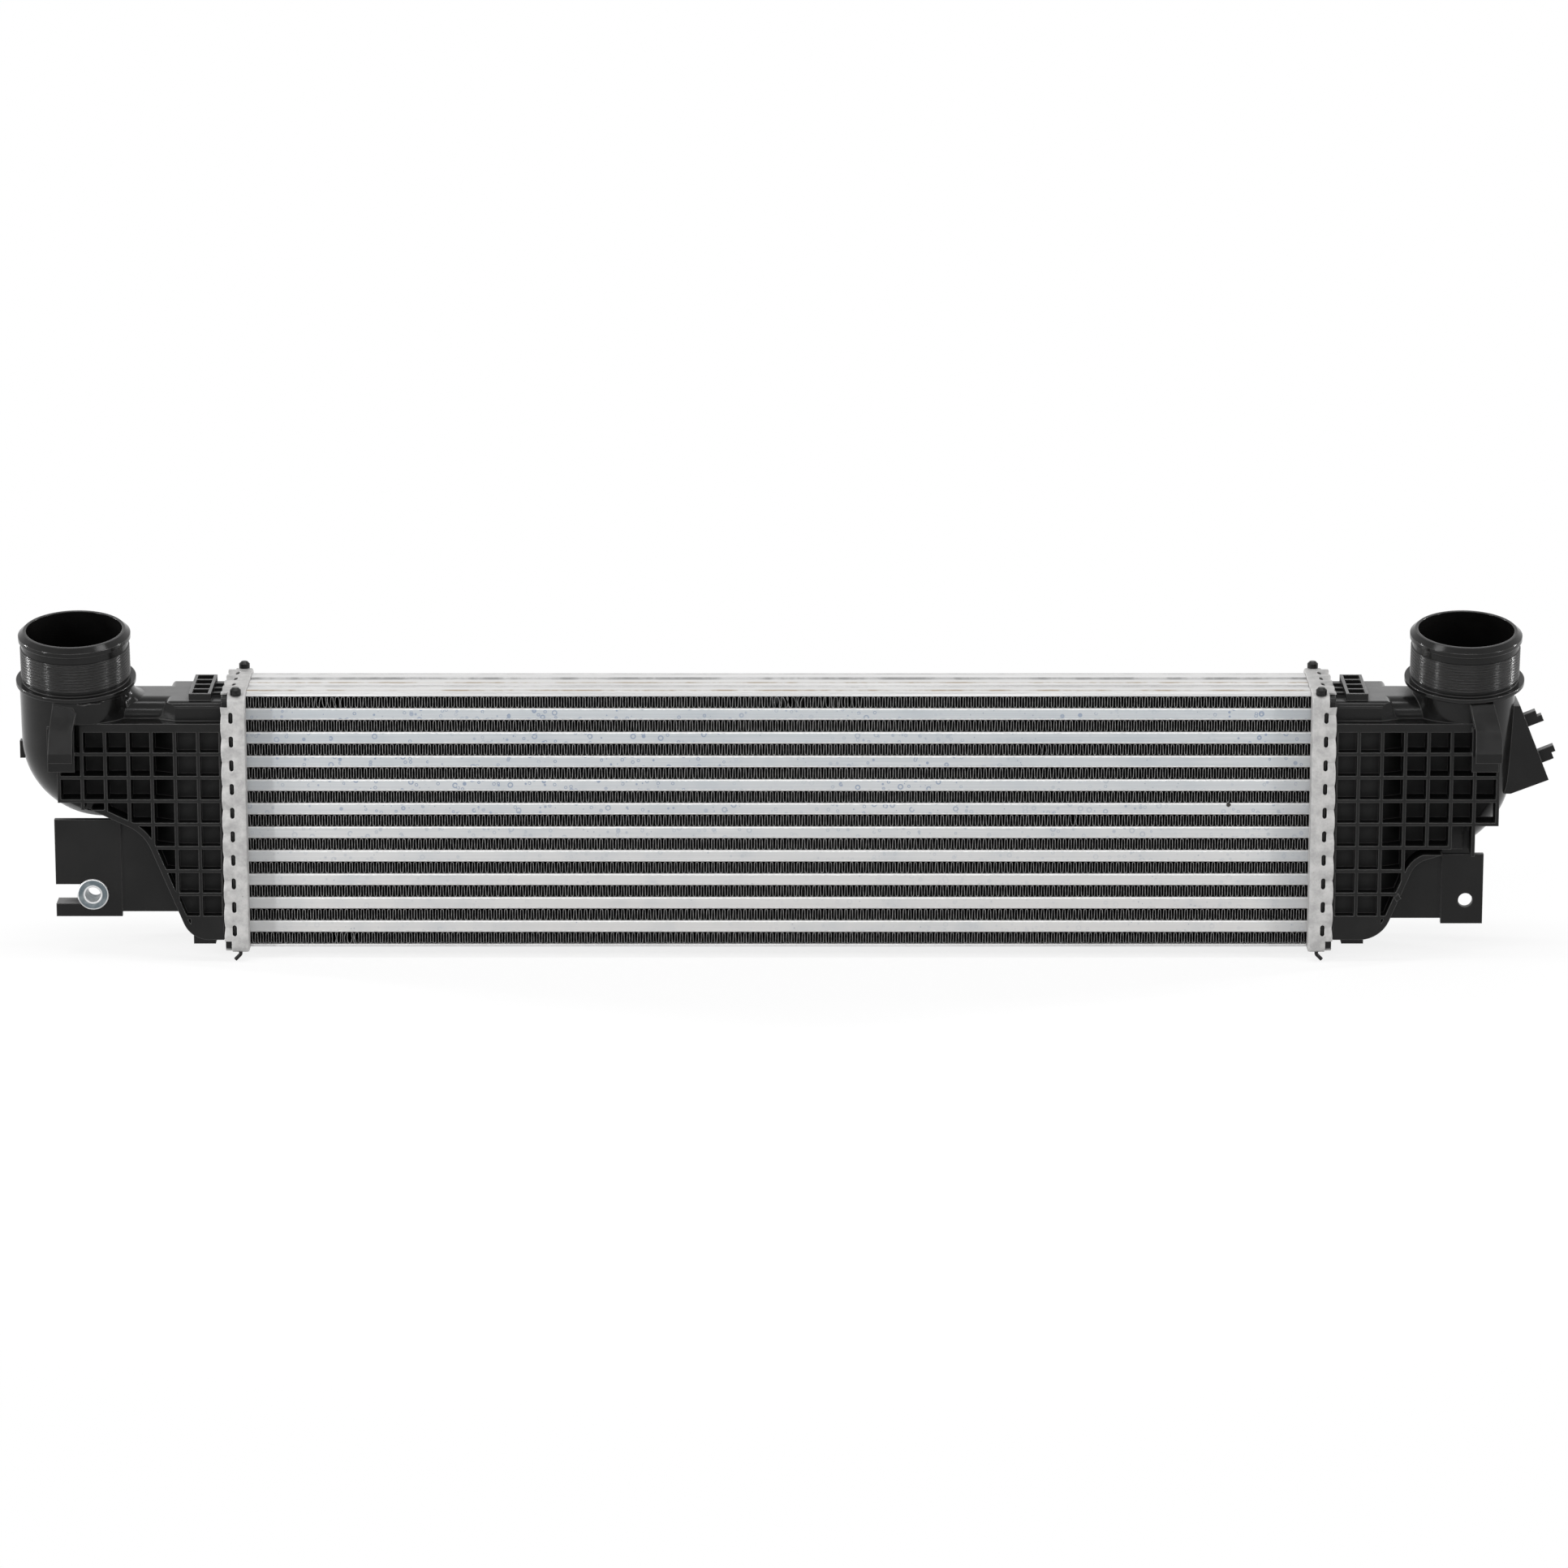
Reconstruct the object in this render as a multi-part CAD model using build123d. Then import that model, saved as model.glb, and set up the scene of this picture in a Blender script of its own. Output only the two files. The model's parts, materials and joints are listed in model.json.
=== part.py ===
from build123d import *
import math
import os

os.makedirs("parts", exist_ok=True)

# An air-to-air intercooler: a brazed aluminium core between two crimped aluminium headers,
# each closed by a hollow black moulded tank with a hose neck.
# Millimetres, +X along the core, +Z up, the hose necks lean to the front, which is -Y.
# Everything is worked out about the middle of the core and moved at the end, so that the
# origin is the bottom centre of the whole.

# Core
core_length = 626.6
tube_count = 10
tube_pitch = 14.37
tube_height = 7.2
tube_depth = 54.0
tube_wall = 0.5
tube_corner = 0.8
braze_gap = 0.05
fin_setback = 0.7
fin_leg_pitch = 26.1
fin_sheet = 0.45
turbulator_leg_pitch = 7.4
turbulator_sheet = 0.3
turbulator_end_gap = 6.0
turbulator_side_gap = 0.6
side_plate_sheet = 1.2
side_plate_bead_height = 0.8
side_plate_bead_width = 11.5
side_plate_bead_pitch = 19.0

# Headers, pressed trays that hold the tube ends
header_sheet = 1.6
header_width = 14.4
header_shoulder = 10.5
header_margin = 3.165
header_corner = 5.0
header_base_edge = 1.2
tube_overhang = 2.4
crimp_slot_length = 6.8
crimp_slot_width = 1.8
crimp_slot_inset = 8.3
crimp_press = 1.2
end_slot_count = 4
corner_notch_width = 4.2
corner_notch_size = 7.5

# Gasket, foot of the tank and the locking rods
fit_gap = 0.3
gasket_thickness = 3.1
gasket_width = 4.2
foot_step = 2.0
foot_corner = 3.0
rod_diameter = 2.2
rod_hole_gap = 0.2
rod_head_diameter = 6.4
rod_head_height = 4.0
rod_head_bevel = 1.4
rod_inset = 5.3
rod_side_gap = 0.7
rod_bend_radius = 1.6
rod_tail_drop = 1.1
rod_tail_reach = 3.2

# Tank walls, with heights taken from the header's top and bottom
wall = 2.8
tank_top_drop = 6.2
tank_bottom_rise = 8.1
plenum_half_depth = 29.0
plenum_corner = 4.0
duct_half_depth = 22.0
duct_corner = 10.0
duct_face_drop = 11.4
shoulder_start = 5.5
shoulder_end = 8.8
shoulder_radius = 3.5

# Stiffening lattice on the front and the back of each tank
rib_pitch_x = 13.7
rib_thickness = 2.0
rib_rows = 8
rib_front = 36.0
rib_setback = 0.2
lattice_lip = 4.2
lattice_foot = 13.7
ramp_column = 2
ridge_width = 3.4
star_reach = 5.0
star_waist = 1.5
star_turn = 80.0
star_proud = 1.2
star_depth = 7.0
hanging_column = 6
hanging_row = 4
star_place = (37.9, 116.9)

# Hose neck, with its heights along its own leaning axis
neck_lean = 9.2
lean_drop = 44.4
neck_bore_radius = 28.3
neck_radius = 31.5
neck_top = 86.1
neck_rim_radius = 30.0
bead_radius = 33.0
bead_land = 2.6
bead_bevel = 2.7
collar_radius = 35.3
collar_thickness = 3.0
collar_bevel = 0.8
collar_height = 54.2

# Support pads on the top and the bottom of each tank
pad_reach = 6.3
pad_width = 13.0
pad_depth = 50.0
top_pad_height = 4.2
bottom_pad_height = 5.3
pad_cells = 4
pad_rib = 1.8
low_pad_share = 0.5

# Hook in front of each neck, with heights taken from the tank's top
hook_width = 15.8
hook_back = 3.0
hook_gap = 7.0
hook_tongue = 3.5
hook_rise = 1.4
hook_shoulder_drop = 13.4
hook_bend_drop = 26.4
hook_tongue_drop = 32.1
hook_back_drop = 40.0
hook_shoulder_setback = 2.2
hook_root = 4.0
hook_plate_rise = 6.0

# Mounting brackets
bracket_front = 20.0
bracket_thickness = 4.0
bracket_recess = 1.2
slot_width = 11.9
slot_boss_wall = 3.2
slot_boss_length = 10.0
sleeve_gap = 0.15
sleeve_bore = 9.0
sleeve_flange = 18.8
sleeve_flange_thickness = 1.6
right_hole_diameter = 8.5

# Small nub on the outer side of the left elbow, from the header's edge and the tank's top
nub_reach = 121.9
nub_drop = 29.6
nub_height = 10.4
nub_width = 6.0

# Sensor seat on the right tank, its corners taken from the neck's axis and the tank's top
sensor_top = (33.1, 6.1)
sensor_low = (51.1, 51.0)
sensor_corner = (28.8, 59.5)
sensor_root = 10.0
prong_step = 0.75
sensor_half_depth = 13.0
sensor_bore = 12.0
prong_width = 7.6
prong_length = 10.0
prong_spacing = 23.7
prong_depth = 6.0


# Places that follow from the sizes above
header_inner = core_length / 2
header_outer = header_inner + header_width
header_floor = header_inner + header_sheet
gasket_end = header_floor + gasket_thickness
fin_height = tube_pitch - tube_height
fin_depth = tube_depth - 2 * fin_setback
stack_half = tube_count * tube_pitch / 2 + fin_height / 2
header_depth = tube_depth + 2 * header_shoulder
header_height = 2 * (stack_half + header_margin)
slot_x = header_inner + crimp_slot_inset
crimp_start = slot_x + crimp_slot_width / 2
foot_end = crimp_start - fit_gap
foot_half_depth = header_depth / 2 - header_sheet - fit_gap
foot_half_height = header_height / 2 - header_sheet - fit_gap
rod_radius = rod_diameter / 2
rod_x = header_inner + rod_inset
rod_y = header_depth / 2 - header_sheet - rod_side_gap - rod_radius
step_half_depth = rod_y - rod_radius - fit_gap
tube_levels = [(i - (tube_count - 1) / 2) * tube_pitch for i in range(tube_count)]
fin_levels = [(i - tube_count / 2) * tube_pitch for i in range(tube_count + 1)]
end_slots = [(i - (end_slot_count - 1) / 2) * tube_pitch for i in range(end_slot_count)]
tank_top = header_height / 2 - tank_top_drop
tank_bottom = tank_bottom_rise - header_height / 2
duct_face_top = tank_top - duct_face_drop
rib_origin = header_outer - rib_setback
lattice_top = duct_face_top - lattice_lip
lattice_bottom = tank_bottom + lattice_foot
rib_pitch_z = (lattice_top - lattice_bottom) / rib_rows
step_start = rib_origin + ramp_column * rib_pitch_x
step_end = step_start + rib_pitch_x
lean_height = tank_top - lean_drop
pad_near = header_outer + pad_reach


def at(reach, drop):
    """A place seen from the front: outward from the header and down from the tank's top."""
    return header_outer + reach, tank_top - drop


class TankShape:
    """What differs between the two tanks, with reaches outward from the header's edge and
    drops down from the tank's top."""

    def __init__(self, neck_reach, bend_drop, bend_radius, duct_radius, foot_reach, underside,
                 underside_radii, rib_columns, hook_reach, hook_face, bracket, web_drop, fixing):
        self.neck_x = header_outer + neck_reach
        self.bend_z = tank_top - bend_drop
        self.bend_radius = bend_radius
        self.duct_radius = duct_radius
        self.underside = [(gasket_end, tank_bottom), (header_outer + foot_reach, tank_bottom)]
        self.underside += [at(*place) for place in underside]
        self.underside_radii = underside_radii
        self.flats_end = rib_origin + max(rib_columns) * rib_pitch_x
        self.rib_columns = rib_columns
        self.lattice_end = rib_origin + max(rib_columns) * rib_pitch_x + rib_thickness / 2
        self.hook_x = header_outer + hook_reach
        self.hook_face = hook_face
        self.bracket_near, self.bracket_top = at(*bracket[0])
        self.bracket_far, self.bracket_bottom = at(*bracket[1])
        self.web_bottom = tank_top - web_drop
        self.fixing = at(*fixing)


left = TankShape(
    neck_reach=86.9, bend_drop=26.5, bend_radius=15.1, duct_radius=33.3,
    foot_reach=19.9, underside=[(46.4, 78.0), (77.4, 63.5)], underside_radii=[16.0, 26.0],
    rib_columns=[6, 7, 7, 6, 4, 3, 2, 2],
    hook_reach=93.9, hook_face=[(-7.7, 32.1), (-8.1, 13.4), (-9.7, 4.4), (-6.7, -1.4), (3.8, -1.4),
                                (5.8, 13.4), (6.8, 32.1)],
    bracket=[(61.7, 73.5), (100.9, 132.7)], web_drop=130.0, fixing=(78.9, 119.0),
)
right = TankShape(
    neck_reach=77.1, bend_drop=46.7, bend_radius=22.6, duct_radius=30.0,
    foot_reach=28.5, underside=[(48.2, 95.9), (64.3, 91.0)], underside_radii=[19.0, 14.0],
    rib_columns=[6, 7, 7, 7, 5, 3, 3, 3],
    hook_reach=87.7, hook_face=[(-6.9, 32.1), (-6.9, 13.4), (-10.0, -1.4), (4.1, -1.4), (7.9, 13.4),
                                (8.8, 19.0), (8.8, 32.1)],
    bracket=[(65.3, 94.6), (90.1, 137.1)], web_drop=134.1, fixing=(79.8, 122.8),
)


def box(x0, x1, y0, y1, z0, z1):
    """A box between two opposite corners."""
    size = (x1 - x0, y1 - y0, z1 - z0)
    return Pos((x0 + x1) / 2, (y0 + y1) / 2, (z0 + z1) / 2) * Box(*size)


def along_x(section, x0, x1):
    """A section drawn in Y and Z, run from x0 to x1."""
    return extrude(Plane.YZ.offset(x0) * section, amount=x1 - x0)


def folded_strip(width, height, legs, sheet):
    """The zigzag as a closed face, with pointed folds and even thickness."""
    step = width / legs
    rise = height - sheet
    shift = sheet * math.hypot(step, rise) / rise / 2
    slope = rise / step
    top = height / 2
    over, under = [], []
    for i in range(legs + 1):
        x = -width / 2 + i * step
        sign = 1 if i % 2 else -1
        middle = sign * rise / 2
        over.append((x, min(middle + shift * slope, top)))
        under.append((x, max(middle - shift * slope, -top)))
    return make_face(Polyline(*over, *reversed(under), close=True))


def tube_outline(gap):
    """Outside of a tube with its corners taken off, grown by a gap."""
    outline = Rectangle(tube_depth + 2 * gap, tube_height + 2 * gap)
    return chamfer(outline.vertices(), tube_corner + gap / 2)


def flat_tube(level):
    """One extruded flat tube, open at both ends."""
    bore = Rectangle(tube_depth - 2 * tube_wall, tube_height - 2 * tube_wall)
    half = header_floor + tube_overhang
    return Pos(0, 0, level) * along_x(tube_outline(0) - bore, -half, half)


def turbulator(level):
    """The folded strip inside a tube."""
    width = tube_depth - 2 * tube_wall - 2 * turbulator_side_gap
    height = tube_height - 2 * tube_wall - 2 * braze_gap
    half = header_floor + tube_overhang - turbulator_end_gap
    strip = folded_strip(width, height, round(width / turbulator_leg_pitch), turbulator_sheet)
    return Pos(0, 0, level) * along_x(strip, -half, half)


def fin_row(level):
    """One row of folded fins, between two tubes or a tube and a side plate."""
    width = core_length - 2 * braze_gap - 2 * fin_sheet
    legs = round(width / fin_leg_pitch)
    strip = folded_strip(width, fin_height - 2 * braze_gap, legs, fin_sheet)
    return Pos(0, 0, level) * extrude(Plane.XZ * strip, amount=fin_depth / 2, both=True)


def side_plate():
    """The top plate of the stack, with pressed beads along it."""
    base = stack_half + braze_gap
    half = header_inner - braze_gap
    plate = box(-half, half, -tube_depth / 2, tube_depth / 2, base, base + side_plate_sheet)
    top = base + side_plate_sheet
    for i in (-1, 0, 1):
        middle = i * side_plate_bead_pitch
        plate += box(-half, half, middle - side_plate_bead_width / 2,
                     middle + side_plate_bead_width / 2, top, top + side_plate_bead_height)
    return plate


def rim_boxes(x0, x1, inner, outer):
    """The same box at each crimp, its distances taken inward from the rim's outer face."""
    half = crimp_slot_length / 2
    sides = ((0, header_depth / 2, tube_levels), (180, header_depth / 2, tube_levels),
             (90, header_height / 2, end_slots), (270, header_height / 2, end_slots))
    return [Rot(turn, 0, 0) * box(x0, x1, face - inner, face - outer, place - half, place + half)
            for turn, face, places in sides for place in places]


def header():
    """The right-hand tray: floor with the tube holes, rim with slots and pressed-in strips."""
    outline = RectangleRounded(header_depth, header_height, header_corner)
    tray = along_x(outline, header_inner, header_outer)
    tray = chamfer(tray.faces().sort_by(Axis.X)[0].edges(), header_base_edge)
    inside = RectangleRounded(header_depth - 2 * header_sheet, header_height - 2 * header_sheet,
                              header_corner - header_sheet)
    tray -= along_x(inside, header_floor, header_outer + 1)
    cuts = [along_x(Pos(0, level) * tube_outline(braze_gap), header_inner - 1, header_floor + 1)
            for level in tube_levels]
    cuts += rim_boxes(slot_x - crimp_slot_width / 2, header_outer + 1, header_sheet + 1, -1)
    strips = rim_boxes(crimp_start, header_outer, header_sheet + crimp_press, crimp_press)
    for y in (-1, 1):
        cuts.append(Pos(rod_x, y * rod_y) * Cylinder(rod_radius + rod_hole_gap, header_height + 2))
        for z in (-1, 1):
            cuts.append(Pos(header_outer, y * header_depth / 2, z * header_height / 2)
                        * Box(2 * corner_notch_width, 2 * corner_notch_size, 2 * corner_notch_size))
    return (tray - cuts) + strips


def gasket():
    """The seal between the header's floor and the foot of the right tank."""
    depth = 2 * (step_half_depth - fit_gap)
    height = 2 * (foot_half_height - fit_gap)
    ring = RectangleRounded(depth, height, foot_corner)
    ring -= Rectangle(depth - 2 * gasket_width, height - 2 * gasket_width)
    return along_x(ring, header_floor, gasket_end)


def locking_rod(y_sign):
    """The rod in one corner of the right header, headed on top and bent over below."""
    top = header_height / 2
    bend = -header_height / 2 - rod_tail_drop
    end = Vector(rod_x + rod_tail_reach, y_sign * rod_y, bend - rod_tail_reach)
    start = (rod_x, y_sign * rod_y, top + rod_head_height / 2)
    path = FilletPolyline(start, (rod_x, y_sign * rod_y, bend), end, radius=rod_bend_radius)
    shank = sweep(Plane(origin=path @ 0, z_dir=path % 0) * Circle(rod_radius), path=path)
    head = Pos(0, 0, rod_head_height / 2) * Cylinder(rod_head_diameter / 2, rod_head_height)
    head = chamfer(head.edges().sort_by(Axis.Z)[-1], rod_head_bevel)
    return shank + Pos(rod_x, y_sign * rod_y, top) * head


def tank_side(shape, inset):
    """Outline of the tank's main body, seen from the front."""
    start, last = shape.underside[0], shape.underside[-1]
    lower = FilletPolyline(*shape.underside, radius=shape.underside_radii)
    rest = Polyline(last, (shape.neck_x, last[1]), (shape.neck_x, tank_top),
                    (gasket_end, tank_top), start)
    side = make_face(lower + rest)
    return offset(side, -inset, kind=Kind.INTERSECTION) if inset else side


def tank_section(half_depth, corner, inset):
    """Rounded section across the tank. Its lower corners lie below the tank's underside."""
    top = tank_top - inset
    bottom = tank_bottom - corner
    section = RectangleRounded(2 * (half_depth - inset), top - bottom, corner - inset)
    return Pos(0, (top + bottom) / 2) * section


def plenum(inset):
    """Deep end of the tank, beside the header, with an S-shaped shoulder on its top edge and
    sides that ramp in to the duct."""
    near, far = plenum_half_depth - inset, duct_half_depth - inset
    low = tank_bottom - plenum_corner
    top, ledge = tank_top - inset, duct_face_top - inset
    corner = (step_start + shoulder_start - inset, top)
    shoulder = FilletPolyline((gasket_end, top), corner, (corner[0] + shoulder_end - shoulder_start,
                              ledge), (step_end, ledge), radius=shoulder_radius)
    front = make_face(shoulder + Polyline((step_end, ledge), (step_end, low), (gasket_end, low),
                                          (gasket_end, top)))
    plan = make_face(Polyline((gasket_end, -near), (step_start, -near), (step_end, -far),
                              (step_end, far), (step_start, near), (gasket_end, near), close=True))
    block = extrude(Plane.XZ * front, amount=near, both=True)
    block &= extrude(Plane.XY.offset(low) * plan, amount=top - low)
    return block & along_x(tank_section(plenum_half_depth, plenum_corner, inset), gasket_end, step_end)


def tank_body(shape, inset):
    """Plenum and flat-sided duct, cut to the tank's outline."""
    side = extrude(Plane.XZ * tank_side(shape, inset), amount=plenum_half_depth, both=True)
    duct = along_x(tank_section(duct_half_depth, duct_corner, inset), gasket_end, shape.neck_x)
    return side & (plenum(inset) + duct)


def elbow(shape, inset):
    """Bend and round duct below the hose neck, before the flats are taken off."""
    radius = shape.duct_radius - inset
    bend_x = shape.neck_x - shape.bend_radius
    reach = shape.bend_radius + radius
    level = Plane.XY.offset(shape.bend_z)
    disc = level * Pos(shape.neck_x, 0) * Circle(radius)
    outer_half = level * Pos(bend_x + reach / 2, 0) * Rectangle(reach, 2 * radius)
    bend = revolve(disc & outer_half, axis=Axis((bend_x, 0, shape.bend_z), (0, 1, 0)),
                   revolution_arc=90)
    leg = along_x(Pos(0, shape.bend_z - shape.bend_radius) * Circle(radius), step_end, bend_x)
    riser = extrude(disc, amount=lean_height + collar_height - shape.bend_z)
    return lean(bend + leg + riser)


def lean(thing):
    """Tips the neck to the front, about a level line through its foot."""
    return Pos(0, 0, lean_height) * Rot(neck_lean, 0, 0) * Pos(0, 0, -lean_height) * thing


def flats(shape, inset):
    """What is taken off the round duct, front and back, so that it ends in the flat sides."""
    far = duct_half_depth - inset
    near = plenum_half_depth - inset
    end = shape.flats_end + inset
    outside = 2 * shape.duct_radius
    outline = Polyline((step_start, -near), (step_end, -far), (end, -far), (end, -outside),
                       (step_start, -outside), close=True)
    bottom = tank_bottom - plenum_corner
    front = extrude(Plane.XY.offset(bottom) * make_face(outline),
                    amount=duct_face_top + inset - bottom)
    return front + mirror(front, about=Plane.XZ)


def neck():
    """The hose neck around the origin's Z axis, from the collar to the rim, bored through."""
    collar_low = collar_height - collar_thickness / 2
    collar_high = collar_height + collar_thickness / 2
    bead_low = neck_top - bead_bevel - bead_land
    outline = Polyline(
        (neck_bore_radius, collar_low), (collar_radius - collar_bevel, collar_low),
        (collar_radius, collar_low + collar_bevel), (collar_radius, collar_high),
        (neck_radius, collar_high), (neck_radius, bead_low), (bead_radius, bead_low),
        (bead_radius, bead_low + bead_land), (neck_rim_radius, neck_top),
        (neck_bore_radius, neck_top), close=True)
    return revolve(Plane.XZ * make_face(outline), axis=Axis.Z)


def lattice(shape):
    """Ribs that stiffen the front of the tank, between the header and the hook."""
    half = rib_thickness / 2
    first = header_outer + fit_gap
    depth = (-rib_front, -duct_half_depth + half)
    slab, pockets = [], []
    for row, columns in enumerate(shape.rib_columns):
        top = lattice_top - row * rib_pitch_z
        bottom = top - rib_pitch_z
        end = rib_origin + columns * rib_pitch_x
        slab.append(box(first, end + half, *depth, bottom - half, top + half))
        for column in range(columns):
            start = rib_origin + column * rib_pitch_x
            near = first + rib_thickness - half if column == 0 else start + half
            pockets.append(box(near, start + rib_pitch_x - half, *depth, bottom + half, top - half))
    last = rib_origin + shape.rib_columns[0] * rib_pitch_x
    slab.append(box(first, last + half, *depth, lattice_top, duct_face_top))
    slab.append(box(first, shape.underside[1][0], *depth, tank_bottom, lattice_bottom))
    outer = extrude(Plane.XZ * tank_side(shape, 0), amount=rib_front, both=True)
    tail_x, tail_z = shape.underside[3]
    tail = box(tail_x, shape.lattice_end, *depth, tail_z, tank_top)
    inner = extrude(Plane.XZ * tank_side(shape, ridge_width), amount=rib_front + 1, both=True)
    ribs = (Part() + slab) - pockets
    ribs &= outer + tail
    ridge = (outer - inner) & box(first, tail_x, *depth, tank_bottom, tail_z)
    return ribs + ridge


def hanging_rib(shape):
    """The rib below the lattice's lower edge on the right tank, down to the ridge."""
    x = rib_origin + hanging_column * rib_pitch_x
    top = lattice_top - hanging_row * rib_pitch_z
    half = rib_thickness / 2
    return box(x - half, x + half, -rib_front, -duct_half_depth + half, shape.underside[3][1] - half, top)


def star(place):
    """Small raised boss with four blunt points, on the front of the ridge."""
    x, z = place
    points = []
    for i in range(8):
        angle = math.radians(star_turn + i * 45)
        reach = star_waist if i % 2 else star_reach / 2
        points.append((x + reach * math.cos(angle), z + reach * math.sin(angle)))
    face = Plane.XZ.offset(rib_front + star_proud) * make_face(Polyline(*points, close=True))
    return extrude(face, amount=-star_depth)


def nub(shape):
    """Small block on the outer side of the left elbow."""
    x, top = at(nub_reach, nub_drop)
    return box(shape.neck_x + shape.duct_radius - wall, x, -nub_width / 2, nub_width / 2,
               top - nub_height, top)


def pads():
    """Cored support pads, taller ones outside and lower ones beside the header."""
    half = pad_depth / 2
    step = (pad_depth - pad_rib) / pad_cells
    result = Part()
    for base, height in ((tank_top, top_pad_height), (tank_bottom, -bottom_pad_height)):
        sink = -math.copysign(1, height) * wall / 2
        low, high = sorted((base + sink, base + height))
        pad = box(pad_near, pad_near + pad_width, -half, half, low, high)
        near_low, near_high = sorted((base + sink, base + height * low_pad_share))
        pad += box(header_outer + fit_gap, pad_near, -half + step, half - step, near_low, near_high)
        for i in range(pad_cells):
            y0 = -half + pad_rib + i * step
            y1 = y0 + step - pad_rib
            bottom, top = sorted((base, base + 2 * height))
            pad -= box(pad_near + pad_rib, pad_near + pad_width - pad_rib, y0, y1, bottom, top)
            if 0 < i < pad_cells - 1:
                pad -= box(header_outer + fit_gap + pad_rib / 2, pad_near, y0, y1, bottom, top)
        result += pad
    return result


def hook(shape):
    """Open-bottomed hook in front of the neck: back plate, sloping bridge and front tongue."""
    back = rib_front + hook_back
    front = back + hook_gap
    face = front + hook_tongue
    top = tank_top + hook_rise
    shoulder = tank_top - hook_shoulder_drop
    bend = tank_top - hook_bend_drop
    low = tank_top - hook_tongue_drop
    back_end = tank_top - hook_back_drop
    root = -duct_half_depth - hook_root
    crease = -face + hook_shoulder_setback
    outline = Polyline(
        (root, top), (-back - 1, top), (crease, shoulder), (-face, bend), (-face, low), (-front, low),
        (-front, shoulder - hook_tongue), (-back, shoulder), (-back, back_end),
        (-rib_front + 1, back_end), (root, back_end + hook_plate_rise), close=True)
    start = shape.hook_x - hook_width
    side = along_x(make_face(outline), start, start + 2 * hook_width)
    points = [(shape.hook_x + x, tank_top - drop) for x, drop in shape.hook_face]
    view = extrude(Plane.XZ.offset(-root) * make_face(Polyline(*points, close=True)), amount=face + 1)
    half = hook_width / 2
    plate = box(shape.hook_x - half, shape.hook_x + half, -back, root, back_end, shoulder)
    return (side & view) + (side & plate)


def bracket(shape):
    """Flat mounting plate outside the tank, with the web that joins it to the tank."""
    front, back = -bracket_front, -bracket_front + bracket_thickness
    plate = box(shape.bracket_near, shape.bracket_far, front, back, shape.bracket_bottom,
                shape.bracket_top)
    web = box(shape.underside[1][0], shape.bracket_near, front + bracket_recess, back,
              shape.web_bottom, shape.underside[3][1])
    return plate + web


def left_fixing(shape):
    """Open slot for the sleeve, with a boss behind the plate: what is added and what is cut."""
    x, z = shape.fixing
    radius = slot_width / 2
    start = -bracket_front + bracket_thickness
    level = Plane.XZ.offset(-start)
    ring = Pos(x, z) * Circle(radius + slot_boss_wall)
    run = shape.bracket_far - x
    arms = Pos(x + run / 2, z) * Rectangle(run, 2 * (radius + slot_boss_wall))
    boss = extrude(level * (ring + arms), amount=-slot_boss_length)
    hole = Pos(x, z) * Circle(radius)
    reach = run + slot_boss_wall
    mouth = Pos(x + reach / 2, z) * Rectangle(reach, slot_width)
    cut = extrude(Plane.XZ * (hole + mouth), amount=rib_front)
    return boss, cut


def sleeve(shape):
    """Flanged steel sleeve in the slot of the left bracket."""
    x, z = shape.fixing
    body_radius = slot_width / 2 - sleeve_gap
    length = bracket_thickness + slot_boss_length + 1
    plane = Plane.XZ.offset(bracket_front)
    body = extrude(plane * Pos(x, z) * Circle(body_radius), amount=-length)
    flange = extrude(plane * Pos(x, z) * Circle(sleeve_flange / 2), amount=sleeve_flange_thickness)
    flange = chamfer(flange.edges().sort_by(Axis.Y)[0], 0.5)
    bore = extrude(plane * Pos(x, z) * Circle(sleeve_bore / 2), amount=length + 5, both=True)
    return body + flange - bore


def sensor_seat(shape):
    """Boss for an air sensor on the outer side of the right neck, with its two prongs."""
    top, low, corner = [(shape.neck_x + x, tank_top - drop)
                        for x, drop in (sensor_top, sensor_low, sensor_corner)]
    inner = shape.neck_x + sensor_root
    outline = Polyline((inner, top[1]), top, low, corner, (inner, corner[1]), close=True)
    seat = extrude(Plane.XZ * make_face(outline), amount=sensor_half_depth, both=True)
    run = Vector(low[0] - top[0], 0, low[1] - top[1])
    middle = Vector((low[0] + top[0]) / 2, 0, (low[1] + top[1]) / 2)
    face = Plane(origin=middle, x_dir=run, z_dir=Vector(-run.Z, 0, run.X).normalized())
    prongs = Part()
    for side in (-1, 1):
        place = side * prong_spacing / 2
        inner_half = place - side * prong_width / 4
        outer_half = place + side * prong_width / 4
        for spot, length in ((inner_half, prong_length), (outer_half, prong_length * prong_step)):
            prongs += extrude(face * Pos(spot, 0) * Rectangle(prong_width / 2, prong_depth),
                              amount=length)
    bore = extrude(face * Circle(sensor_bore / 2), amount=-shape.duct_radius)
    return seat + prongs, bore


def foot():
    """Flange of the tank inside the header, stepped for the rods, with four corner stops."""
    flange = along_x(RectangleRounded(2 * foot_half_depth, 2 * foot_half_height, foot_corner),
                     gasket_end + foot_step, foot_end)
    flange += along_x(RectangleRounded(2 * step_half_depth, 2 * foot_half_height, foot_corner),
                      gasket_end, gasket_end + foot_step)
    stop = header_outer - header_sheet / 3
    reach = corner_notch_size - header_sheet + 2
    corners = [box(foot_end - 1, stop, *sorted((y * foot_half_depth, y * (foot_half_depth - reach))),
                   *sorted((z * foot_half_height, z * (foot_half_height - reach))))
               for y in (-1, 1) for z in (-1, 1)]
    outline = RectangleRounded(2 * foot_half_depth, 2 * foot_half_height, foot_corner)
    return flange + (along_x(outline, foot_end - 1, stop) & (Part() + corners))


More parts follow.
